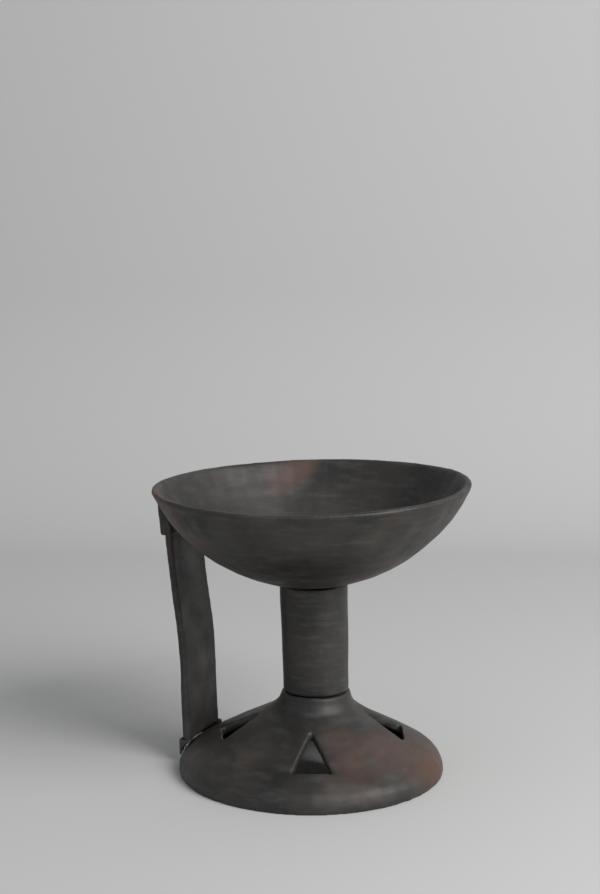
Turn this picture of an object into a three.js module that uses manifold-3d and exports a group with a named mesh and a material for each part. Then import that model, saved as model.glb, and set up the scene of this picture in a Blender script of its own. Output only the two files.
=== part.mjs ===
// Pedestal fruit bowl of dark burnished earthenware: a shallow bowl on a hollow stem, a flared
// hollow foot with four triangular windows, and one strap handle from the foot to the bowl.
// Millimetres, +Z up. The origin is on the table, at the middle of the foot, under the rim's middle.
import * as THREE from 'three';
import { mergeVertices } from 'three/addons/utils/BufferGeometryUtils.js';
import Module from 'manifold-3d';

const wasm = await Module();
wasm.setup();

// Driving dimensions of the bowl
const RIM_RADIUS = 100;
const RIM_HEIGHT = 182;
const BOWL_DEPTH = 62;
const BOWL_WALL = 4.8;
const LIP_RISE = 1.6;
const RIM_LUG_RISE = 1.4;

// Driving dimensions of the stem
const STEM_TOP_RADIUS = 21.7;
const STEM_FOOT_RADIUS = 20.7;
const STEM_BORE_RADIUS = 14.5;
const STEM_SEAT_HEIGHT = 52;
const LEAN = THREE.MathUtils.degToRad(1.4);

// Driving dimensions of the foot
const FOOT_RADIUS = 84.2;
const FOOT_EDGE_HEIGHT = 4;
const FOOT_SHOULDER_HEIGHT = 24.6;
const FOOT_SHOULDER_RADIUS = 58;
const FOOT_NECK_RADIUS = 27.5;
const FOOT_NECK_HEIGHT = 41.5;
const FOOT_WALL = 4.6;

// Triangular windows, each with its own hand-cut size: azimuth, apex and base radius, base width
const WINDOWS = [
  { azimuth: 270, apex: 35.5, base: 66, width: 25 },
  { azimuth: 0, apex: 32, base: 58, width: 32 },
  { azimuth: 90, apex: 33, base: 62, width: 27 },
  { azimuth: 185, apex: 32, base: 56, width: 24 },
];

// Driving dimensions of the strap handle
const HANDLE_AZIMUTH = THREE.MathUtils.degToRad(157);
const HANDLE_WIDTH = 46;
const HANDLE_THICKNESS = 5.2;
const HANDLE_FOOT_RADIUS = 78;
const HANDLE_MIDDLE_RADIUS = 80.8;
const HANDLE_TOP_RADIUS = 92;

// Driving dimensions of the clay that seals the joints
const COIL_RADIUS = 2.6;
const LUTING_MARGIN = 2;
const FOOT_LUTING_RISE = 4;
const TOP_LUTING_DROP = 3;
const SLIP_GAP = 0.3;

const SEGMENTS = 48;

// The rim's middle stands over the origin, so the leaning stem starts a little to the right.
const STEM_BASE_SHIFT = Math.sin(LEAN) * (RIM_HEIGHT - STEM_SEAT_HEIGHT);
const BOWL_SPHERE_RADIUS = (RIM_RADIUS ** 2 + BOWL_DEPTH ** 2) / (2 * BOWL_DEPTH);
const BOWL_CENTRE_HEIGHT = RIM_HEIGHT - BOWL_DEPTH + BOWL_SPHERE_RADIUS;

const lean = new THREE.Matrix4()
  .makeTranslation(STEM_BASE_SHIFT, 0, STEM_SEAT_HEIGHT)
  .multiply(new THREE.Matrix4().makeRotationY(-LEAN))
  .multiply(new THREE.Matrix4().makeTranslation(0, 0, -STEM_SEAT_HEIGHT));

// A closed geometry as a solid: shared vertices merged, empty triangles dropped, faces outward.
function solidOf(geometry) {
  const bare = geometry.clone();
  bare.deleteAttribute('normal');
  bare.deleteAttribute('uv');
  const merged = mergeVertices(bare, 1e-4);
  const at = merged.attributes.position;
  const index = merged.index.array;
  const a = new THREE.Vector3();
  const b = new THREE.Vector3();
  const c = new THREE.Vector3();
  let triangles = [];
  let volume = 0;
  for (let i = 0; i < index.length; i += 3) {
    const [p, q, r] = [index[i], index[i + 1], index[i + 2]];
    if (p === q || q === r || r === p) continue;
    triangles.push([p, q, r]);
    a.fromBufferAttribute(at, p);
    b.fromBufferAttribute(at, q);
    c.fromBufferAttribute(at, r);
    volume += a.dot(b.cross(c));
  }
  if (volume < 0) triangles = triangles.map(([p, q, r]) => [p, r, q]);
  const mesh = new wasm.Mesh({
    numProp: 3,
    vertProperties: new Float32Array(at.array),
    triVerts: new Uint32Array(triangles.flat()),
  });
  return new wasm.Manifold(mesh);
}

function geometryOf(solid) {
  const { vertProperties, triVerts } = solid.getMesh();
  const geometry = new THREE.BufferGeometry();
  geometry.setAttribute('position', new THREE.BufferAttribute(new Float32Array(vertProperties), 3));
  geometry.setIndex(new THREE.BufferAttribute(new Uint32Array(triVerts), 1));
  geometry.computeVertexNormals();
  return geometry;
}

// A turned shape about +Z, from [radius, height] points.
function turned(points, segments = SEGMENTS) {
  const profile = points.map(([radius, height]) => new THREE.Vector2(radius, height));
  return new THREE.LatheGeometry(profile, segments).rotateX(Math.PI / 2);
}

function arc(radius, centre, from, to, steps) {
  return Array.from({ length: steps + 1 }, (_, i) => {
    const angle = from + ((to - from) * i) / steps;
    return [Math.max(0, radius * Math.cos(angle)), centre + radius * Math.sin(angle)];
  });
}

// The rim is not level: it swells up a little over each pinched end of the lip.
function waveRim(geometry) {
  const at = geometry.attributes.position;
  for (let i = 0; i < at.count; i += 1) {
    const azimuth = Math.atan2(at.getY(i), at.getX(i));
    const near = THREE.MathUtils.smoothstep(at.getZ(i), RIM_HEIGHT - BOWL_DEPTH / 3, RIM_HEIGHT);
    const ends = Math.cos(azimuth - THREE.MathUtils.degToRad(12)) ** 4;
    at.setZ(i, at.getZ(i) + near * RIM_LUG_RISE * ends);
  }
  return geometry;
}

const BOTTOM = -Math.PI / 2;

function rimAngle(radius) {
  return Math.asin((RIM_HEIGHT - BOWL_CENTRE_HEIGHT) / radius);
}

function bowlOuter(extra) {
  const radius = BOWL_SPHERE_RADIUS + extra;
  return arc(radius, BOWL_CENTRE_HEIGHT, BOTTOM, rimAngle(radius), 11);
}

function makeBowl() {
  const inner = BOWL_SPHERE_RADIUS - BOWL_WALL;
  const outside = bowlOuter(0);
  const inside = arc(inner, BOWL_CENTRE_HEIGHT, rimAngle(inner), BOTTOM, 10);
  const lipMiddle = (RIM_RADIUS + inside[0][0]) / 2;
  const lip = [[lipMiddle + 1.4, RIM_HEIGHT + LIP_RISE], [lipMiddle - 1.4, RIM_HEIGHT + LIP_RISE]];
  const geometry = waveRim(turned([...outside, ...lip, ...inside]));
  return solidOf(geometry.applyMatrix4(lean));
}

// The bowl's whole outer form, filled, a slip gap larger: it shapes what is luted under the bowl.
function bowlForm() {
  const outside = bowlOuter(SLIP_GAP);
  const above = RIM_HEIGHT + 20;
  const [rim] = outside.at(-1);
  return solidOf(turned([...outside, [rim, above], [0, above]]).applyMatrix4(lean));
}

function makeStem() {
  const top = RIM_HEIGHT - BOWL_DEPTH + 6;
  const bottom = STEM_SEAT_HEIGHT - 2;
  const tube = solidOf(turned([
    [STEM_FOOT_RADIUS, bottom],
    [STEM_TOP_RADIUS, top],
    [STEM_BORE_RADIUS, top],
    [STEM_BORE_RADIUS, bottom],
    [STEM_FOOT_RADIUS, bottom],
  ]).applyMatrix4(lean));
  return tube.subtract(bowlForm()).subtract(slab(-1, STEM_SEAT_HEIGHT + SLIP_GAP));
}

// The foot's outer line, from the table up to the seat of the stem.
function footOuter(extra) {
  const line = new THREE.SplineCurve([
    new THREE.Vector2(FOOT_RADIUS, FOOT_EDGE_HEIGHT),
    new THREE.Vector2(FOOT_RADIUS - 4.7, FOOT_SHOULDER_HEIGHT / 2),
    new THREE.Vector2(FOOT_SHOULDER_RADIUS, FOOT_SHOULDER_HEIGHT),
    new THREE.Vector2(FOOT_NECK_RADIUS, FOOT_NECK_HEIGHT),
    new THREE.Vector2(STEM_FOOT_RADIUS + 0.8, STEM_SEAT_HEIGHT),
  ]);
  return line.getPoints(13).map((p) => [p.x + extra, p.y + extra]);
}

// The neck follows the leaning stem, so the foot's upper part shifts to meet it.
function followStem(geometry) {
  const at = geometry.attributes.position;
  for (let i = 0; i < at.count; i += 1) {
    const share = THREE.MathUtils.smoothstep(at.getZ(i), FOOT_SHOULDER_HEIGHT, STEM_SEAT_HEIGHT);
    at.setX(i, at.getX(i) + STEM_BASE_SHIFT * share);
  }
  return geometry;
}

function windowCutter({ azimuth, apex, base, width }) {
  const outline = new THREE.Shape([
    new THREE.Vector2(apex, 0),
    new THREE.Vector2(base, -width / 2),
    new THREE.Vector2(base, width / 2),
  ]);
  const height = STEM_SEAT_HEIGHT + FOOT_WALL;
  const prism = new THREE.ExtrudeGeometry(outline, { depth: height, bevelEnabled: false });
  return solidOf(prism.rotateZ(THREE.MathUtils.degToRad(azimuth)));
}

function makeFoot() {
  const outside = footOuter(0);
  const inside = outside
    .slice(0, -2)
    .map(([radius, height]) => [radius - FOOT_WALL * 0.75, height - FOOT_WALL])
    .filter(([radius, height]) => height > 1 && radius > STEM_BORE_RADIUS + 3)
    .reverse();
  const ring = [
    [FOOT_RADIUS, 0],
    ...outside,
    [STEM_BORE_RADIUS, STEM_SEAT_HEIGHT],
    [STEM_BORE_RADIUS, FOOT_NECK_HEIGHT],
    ...inside,
    [FOOT_RADIUS - FOOT_WALL * 0.85, 0],
    [FOOT_RADIUS, 0],
  ];
  const shell = solidOf(followStem(turned(ring)));
  return WINDOWS.reduce((solid, window) => solid.subtract(windowCutter(window)), shell);
}

// The foot's whole outer form, filled, a slip gap larger.
function footForm() {
  const outside = footOuter(SLIP_GAP);
  const edge = FOOT_RADIUS + SLIP_GAP;
  const top = STEM_SEAT_HEIGHT + SLIP_GAP;
  return solidOf(followStem(turned([[0, -1], [edge, -1], ...outside, [0, top]])));
}

// A rounded bar's section, width along the first axis.
function strapSection(width, thickness) {
  const round = Math.min(thickness / 2, 2.2);
  const x = width / 2;
  const y = thickness / 2;
  const outline = new THREE.Shape();
  outline.absarc(x - round, y - round, round, 0, Math.PI / 2);
  outline.absarc(-x + round, y - round, round, Math.PI / 2, Math.PI);
  outline.absarc(-x + round, -y + round, round, Math.PI, 1.5 * Math.PI);
  outline.absarc(x - round, -y + round, round, 1.5 * Math.PI, 2 * Math.PI);
  return outline;
}

const handlePath = new THREE.CatmullRomCurve3([
  new THREE.Vector3(HANDLE_FOOT_RADIUS, 0, FOOT_EDGE_HEIGHT),
  new THREE.Vector3(HANDLE_FOOT_RADIUS + 0.8, 0, RIM_HEIGHT * 0.18),
  new THREE.Vector3(HANDLE_MIDDLE_RADIUS, 0, RIM_HEIGHT * 0.42),
  new THREE.Vector3(HANDLE_TOP_RADIUS - 5, 0, RIM_HEIGHT * 0.69),
  new THREE.Vector3(HANDLE_TOP_RADIUS, 0, RIM_HEIGHT * 0.95),
]);

function strap(extra, margin = 0) {
  const size = 2 * (extra + margin);
  const section = strapSection(HANDLE_WIDTH + size, HANDLE_THICKNESS + size);
  const bar = new THREE.ExtrudeGeometry(section, {
    steps: 16,
    curveSegments: 3,
    extrudePath: handlePath,
  });
  return solidOf(bar.rotateZ(HANDLE_AZIMUTH));
}

function makeHandle() {
  return strap(0).subtract(bowlForm()).subtract(footForm());
}

// A level slab wide enough for the whole object, between two heights.
function slab(low, high) {
  const side = 3 * RIM_RADIUS;
  const box = new THREE.BoxGeometry(side, side, high - low).translate(0, 0, (low + high) / 2);
  return solidOf(box);
}

// The collars of wet clay pressed round each end of the strap.
function makeFootLuting() {
  const high = FOOT_SHOULDER_HEIGHT / 2 + FOOT_LUTING_RISE;
  const collar = strap(0, LUTING_MARGIN).intersect(slab(FOOT_EDGE_HEIGHT, high));
  return collar.subtract(footForm()).subtract(strap(SLIP_GAP));
}

function makeTopLuting() {
  const low = RIM_HEIGHT - BOWL_DEPTH / 2 - TOP_LUTING_DROP;
  const collar = strap(0, LUTING_MARGIN).intersect(slab(low, RIM_HEIGHT - BOWL_DEPTH * 0.2));
  return collar.subtract(bowlForm()).subtract(strap(SLIP_GAP));
}

// A coil of clay smeared round the inside of the bore, over a seam.
function makeCoil(height) {
  const middle = STEM_BORE_RADIUS - COIL_RADIUS - SLIP_GAP;
  const ring = new THREE.TorusGeometry(middle, COIL_RADIUS, 10, 32).translate(0, 0, height);
  return solidOf(ring.applyMatrix4(lean));
}

const fired = { color: 0x3e3934, roughness: 0.5, metalness: 0 };

const pieces = {
  foot: makeFoot(),
  stem: makeStem(),
  bowl: makeBowl(),
  handle: makeHandle(),
  stem_joint_coil: makeCoil(STEM_SEAT_HEIGHT),
  bowl_joint_coil: makeCoil(RIM_HEIGHT - BOWL_DEPTH - COIL_RADIUS - 1),
  handle_foot_luting: makeFootLuting(),
  handle_top_luting: makeTopLuting(),
};

const fruitBowl = new THREE.Group();
fruitBowl.name = 'fruit_bowl';
for (const [name, solid] of Object.entries(pieces)) {
  const mesh = new THREE.Mesh(geometryOf(solid), new THREE.MeshStandardMaterial(fired));
  mesh.name = name;
  fruitBowl.add(mesh);
}

export default fruitBowl;
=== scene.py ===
import math

import bpy
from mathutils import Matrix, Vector, noise


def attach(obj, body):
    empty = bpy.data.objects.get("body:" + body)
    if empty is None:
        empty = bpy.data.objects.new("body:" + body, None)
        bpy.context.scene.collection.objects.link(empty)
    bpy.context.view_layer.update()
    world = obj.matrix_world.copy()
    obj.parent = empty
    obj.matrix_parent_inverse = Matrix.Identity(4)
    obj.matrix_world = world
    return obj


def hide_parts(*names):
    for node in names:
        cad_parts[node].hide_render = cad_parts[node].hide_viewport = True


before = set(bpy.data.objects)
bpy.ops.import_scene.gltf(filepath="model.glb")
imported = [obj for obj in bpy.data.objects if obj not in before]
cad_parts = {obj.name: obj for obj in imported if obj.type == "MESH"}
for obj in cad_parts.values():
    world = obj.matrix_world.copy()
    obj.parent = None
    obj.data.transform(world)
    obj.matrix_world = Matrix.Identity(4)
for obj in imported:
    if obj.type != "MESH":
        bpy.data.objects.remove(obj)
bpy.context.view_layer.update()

# The camera stands a metre in front of the bowl, a little to its left, and looks slightly down.
# The long side of the picture, 894 pixels, is the side that the sensor width covers.
PICTURE_HEIGHT_PX = 894
FOCAL_PX = 1700
CAMERA_PLACE = (-0.0071, -1.041, 0.370)
CAMERA_PITCH = math.radians(8.89)
SENSOR_MM = 36

camera_data = bpy.data.cameras.new("camera")
camera_data.sensor_width = SENSOR_MM
camera_data.lens = SENSOR_MM * FOCAL_PX / PICTURE_HEIGHT_PX
camera = bpy.data.objects.new("camera", camera_data)
camera.location = CAMERA_PLACE
camera.rotation_euler = (math.pi / 2 - CAMERA_PITCH, 0, 0)
bpy.context.scene.collection.objects.link(camera)
bpy.context.scene.camera = camera

# The finish of the whole vessel: clay burnished with a pebble while leather hard, then fired in
# smoke. It is near black with browner fire clouds, soft streaks from the pebble, and fine pits.
# The streaks roughen and raise the surface, and the grey that lightens them in the colour is
# painted sheen.


def smoke_fired_group():
    """Colour, roughness and height of smoke-fired clay, from Object coordinates; the colour
    carries painted sheen on the streaks.
    """
    group = bpy.data.node_groups.new("smoke_fired_clay", "ShaderNodeTree")
    for name, kind, value in (
        ("Streak_painted_sheen", "NodeSocketFloat", 0.5),
        ("Cloud", "NodeSocketFloat", 0.5),
    ):
        socket = group.interface.new_socket(name, in_out="INPUT", socket_type=kind)
        socket.default_value = value
    for name, kind in (
        ("Color", "NodeSocketColor"),
        ("Roughness", "NodeSocketFloat"),
        ("Height", "NodeSocketFloat"),
    ):
        group.interface.new_socket(name, in_out="OUTPUT", socket_type=kind)
    nodes, links = group.nodes, group.links
    given = nodes.new("NodeGroupInput")
    result = nodes.new("NodeGroupOutput")
    place = nodes.new("ShaderNodeTexCoord").outputs["Object"]

    def cloud(scale, detail, stretch=(1, 1, 1)):
        mapping = nodes.new("ShaderNodeMapping")
        mapping.inputs["Scale"].default_value = stretch
        links.new(place, mapping.inputs["Vector"])
        texture = nodes.new("ShaderNodeTexNoise")
        texture.inputs["Scale"].default_value = scale
        texture.inputs["Detail"].default_value = detail
        links.new(mapping.outputs["Vector"], texture.inputs["Vector"])
        return texture.outputs["Fac"]

    def spread(value, low, high, to_low, to_high):
        node = nodes.new("ShaderNodeMapRange")
        for socket, number in (
            ("From Min", low), ("From Max", high), ("To Min", to_low), ("To Max", to_high),
        ):
            node.inputs[socket].default_value = number
        links.new(value, node.inputs["Value"])
        return node.outputs["Result"]

    def sum_of(first, second, share=1.0):
        node = nodes.new("ShaderNodeMath")
        node.operation = "MULTIPLY_ADD"
        node.inputs[1].default_value = share
        links.new(second, node.inputs[0])
        links.new(first, node.inputs[2])
        return node.outputs[0]

    def product(first, second):
        node = nodes.new("ShaderNodeMath")
        node.operation = "MULTIPLY"
        links.new(first, node.inputs[0])
        links.new(second, node.inputs[1])
        return node.outputs[0]

    def tint(base, colour, amount):
        node = nodes.new("ShaderNodeMix")
        node.data_type = "RGBA"
        links.new(base, node.inputs[6])
        node.inputs[7].default_value = colour
        links.new(amount, node.inputs[0])
        return node.outputs[2]

    ground = nodes.new("ShaderNodeValToRGB")
    ground.color_ramp.elements[0].position = 0.35
    ground.color_ramp.elements[0].color = (0.014, 0.013, 0.012, 1)
    ground.color_ramp.elements[1].position = 0.72
    ground.color_ramp.elements[1].color = (0.043, 0.037, 0.031, 1)
    links.new(cloud(26, 5), ground.inputs["Fac"])

    fire = product(spread(cloud(17, 3), 0.52, 0.72, 0, 1), given.outputs["Cloud"])
    reddened = tint(ground.outputs["Color"], (0.105, 0.052, 0.034, 1), fire)
    streaks = cloud(60, 4, (1, 1, 5))
    # Painted sheen: the burnish streaks are lightened towards grey in the colour, standing in for
    # their soft glint.
    painted_sheen_mask = product(spread(streaks, 0.5, 0.75, 0, 0.6), given.outputs["Streak_painted_sheen"])
    sheen_painted_colour = tint(reddened, (0.085, 0.082, 0.078, 1), painted_sheen_mask)
    pits = cloud(900, 2)
    specks = spread(pits, 0.66, 0.72, 0, 0.35)
    links.new(tint(sheen_painted_colour, (0.12, 0.1, 0.085, 1), specks), result.inputs["Color"])

    rough = spread(cloud(70, 4), 0.3, 0.7, 0.38, 0.58)
    links.new(sum_of(rough, streaks, 0.12), result.inputs["Roughness"])
    links.new(sum_of(sum_of(cloud(45, 3), streaks, 0.25), pits, 0.12), result.inputs["Height"])
    return group


smoke_fired = smoke_fired_group()


# The streak amount sets how strongly each piece's streaks carry the painted sheen.
def clay(name, streak_painted_sheen, cloud):
    material = bpy.data.materials.new(name)
    material.use_nodes = True
    nodes, links = material.node_tree.nodes, material.node_tree.links
    shader = nodes["Principled BSDF"]
    finish = nodes.new("ShaderNodeGroup")
    finish.node_tree = smoke_fired
    finish.inputs["Streak_painted_sheen"].default_value = streak_painted_sheen
    finish.inputs["Cloud"].default_value = cloud
    bump = nodes.new("ShaderNodeBump")
    bump.inputs["Strength"].default_value = 0.35
    bump.inputs["Distance"].default_value = 0.0006
    links.new(finish.outputs["Color"], shader.inputs["Base Color"])
    links.new(finish.outputs["Roughness"], shader.inputs["Roughness"])
    links.new(finish.outputs["Height"], bump.inputs["Height"])
    links.new(bump.outputs["Normal"], shader.inputs["Normal"])
    return material


HAND_MARK_M = 0.00035
HAND_MARK_SIZE_M = 0.02
FINE_EDGE_M = 0.0022


def hand_finished(node, material, edge=FINE_EDGE_M):
    """A fine, hand-worked copy of a CAD piece, which stands for it."""
    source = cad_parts[node]
    mesh = source.data.copy()
    mesh.name = node + "_clay"
    piece = bpy.data.objects.new(node + "_clay", mesh)
    bpy.context.scene.collection.objects.link(piece)
    weld = piece.modifiers.new("weld", "WELD")
    weld.merge_threshold = 0.00001
    remesh = piece.modifiers.new("even", "REMESH")
    remesh.mode = "VOXEL"
    remesh.voxel_size = edge / 2
    remesh.use_smooth_shade = True
    soften = piece.modifiers.new("soften", "SMOOTH")
    soften.factor = 0.5
    soften.iterations = 6
    bpy.context.view_layer.update()
    evaluated = piece.evaluated_get(bpy.context.evaluated_depsgraph_get())
    fine = bpy.data.meshes.new_from_object(evaluated)
    piece.modifiers.clear()
    piece.data = fine
    for vertex in fine.vertices:
        mark = noise.noise(vertex.co / HAND_MARK_SIZE_M) - 0.5
        vertex.co += vertex.normal * HAND_MARK_M * mark
    fine.shade_smooth()
    fine.materials.clear()
    fine.materials.append(material)
    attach(piece, "root")
    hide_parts(node)
    return piece


# The foot: a flared, hollow cone of clay, with triangular windows cut through with a knife.
hand_finished("foot", clay("foot_clay", 0.5, 0.7))

# The stem: a hollow tube, rubbed lengthwise, set on the foot with a coil of clay inside the seam.
# The stem's clay carries the strongest painted sheen.
stem_clay = clay("stem_clay", 0.7, 0.3)
hand_finished("stem", stem_clay)
hand_finished("stem_joint_coil", stem_clay)

# The bowl: shallow, pinched and scraped round, its lip rounded with wet leather. A second coil
# seals it to the stem from inside.
hand_finished("bowl", clay("bowl_clay", 0.6, 0.9))
hand_finished("bowl_joint_coil", stem_clay)

# The handle: a flat strap of clay from the foot to just under the lip, with wet clay pressed
# round each of its ends.
handle_clay = clay("handle_clay", 0.4, 0.8)
hand_finished("handle", handle_clay)
hand_finished("handle_foot_luting", handle_clay)
hand_finished("handle_top_luting", handle_clay)

# The studio: a pale floor that curves up into a pale wall, one large soft lamp from the right and
# front, and an even grey sky.
FLOOR_HALF = 3.0
WALL_START = 0.62
WALL_CURVE = 0.25
STAGE_STEPS = 24


def stage_profile():
    points = [(-FLOOR_HALF, 0.0)]
    for i in range(STAGE_STEPS + 1):
        angle = math.pi / 2 * i / STAGE_STEPS
        y = WALL_START + WALL_CURVE * math.sin(angle)
        points.append((y, WALL_CURVE * (1 - math.cos(angle))))
    points.append((WALL_START + WALL_CURVE, FLOOR_HALF))
    return points


stage_mesh = bpy.data.meshes.new("studio")
profile = stage_profile()
corners = [(x, y, z) for y, z in profile for x in (-FLOOR_HALF, FLOOR_HALF)]
quads = [(2 * i, 2 * i + 1, 2 * i + 3, 2 * i + 2) for i in range(len(profile) - 1)]
stage_mesh.from_pydata(corners, [], quads)
stage_mesh.shade_smooth()
studio = bpy.data.objects.new("studio", stage_mesh)
bpy.context.scene.collection.objects.link(studio)
pale = bpy.data.materials.new("pale_plaster")
pale.use_nodes = True
pale.node_tree.nodes["Principled BSDF"].inputs["Base Color"].default_value = (0.55, 0.55, 0.54, 1)
pale.node_tree.nodes["Principled BSDF"].inputs["Roughness"].default_value = 0.9
stage_mesh.materials.append(pale)


def soft_lamp(name, place, size, watts):
    lamp_data = bpy.data.lights.new(name, "AREA")
    lamp_data.size = size
    lamp_data.energy = watts
    lamp = bpy.data.objects.new(name, lamp_data)
    lamp.location = place
    lamp.rotation_euler = (-Vector(place)).to_track_quat("-Z", "Y").to_euler()
    bpy.context.scene.collection.objects.link(lamp)


soft_lamp("window_light", (1.1, -0.9, 1.1), 1.0, 30)

world = bpy.data.worlds.new("sky")
world.use_nodes = True
world.node_tree.nodes["Background"].inputs["Color"].default_value = (0.9, 0.92, 0.95, 1)
world.node_tree.nodes["Background"].inputs["Strength"].default_value = 0.45
bpy.context.scene.world = world
bpy.context.scene.view_settings.view_transform = "Standard"
